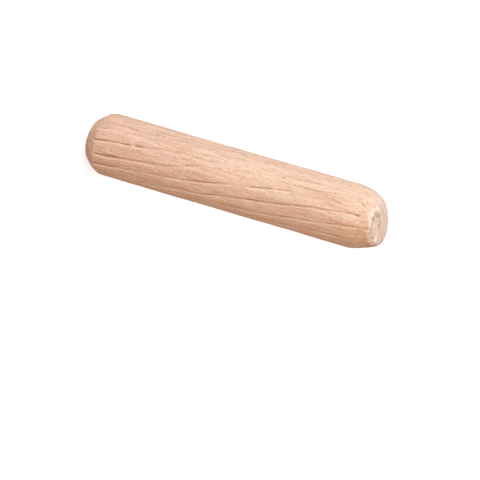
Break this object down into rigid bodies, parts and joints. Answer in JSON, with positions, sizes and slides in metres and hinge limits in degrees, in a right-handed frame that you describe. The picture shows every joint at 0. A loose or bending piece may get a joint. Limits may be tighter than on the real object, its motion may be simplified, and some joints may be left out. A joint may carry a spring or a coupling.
{
  "type": "dowel pin",
  "caption": "Straight hardwood dowel pin with chamfered, rounded ends and fine flutes that wind slowly round its whole length.",
  "frame": {"origin": "centre of the lower end face, on the pin's axis", "axes": "+Z along the pin's axis, up; the pin is the same all round, so +X and +Y have no front"},
  "size_m": [0.008, 0.008, 0.04],
  "materials": {
    "beech": "raw pinkish-tan beech, turned and fluted, with fine streaks along the pin, short dark pores and pale fuzzy end grain; no varnish"
  },
  "bodies": {
    "root": {"dowel_pin": "beech"}
  },
  "joints": []
}
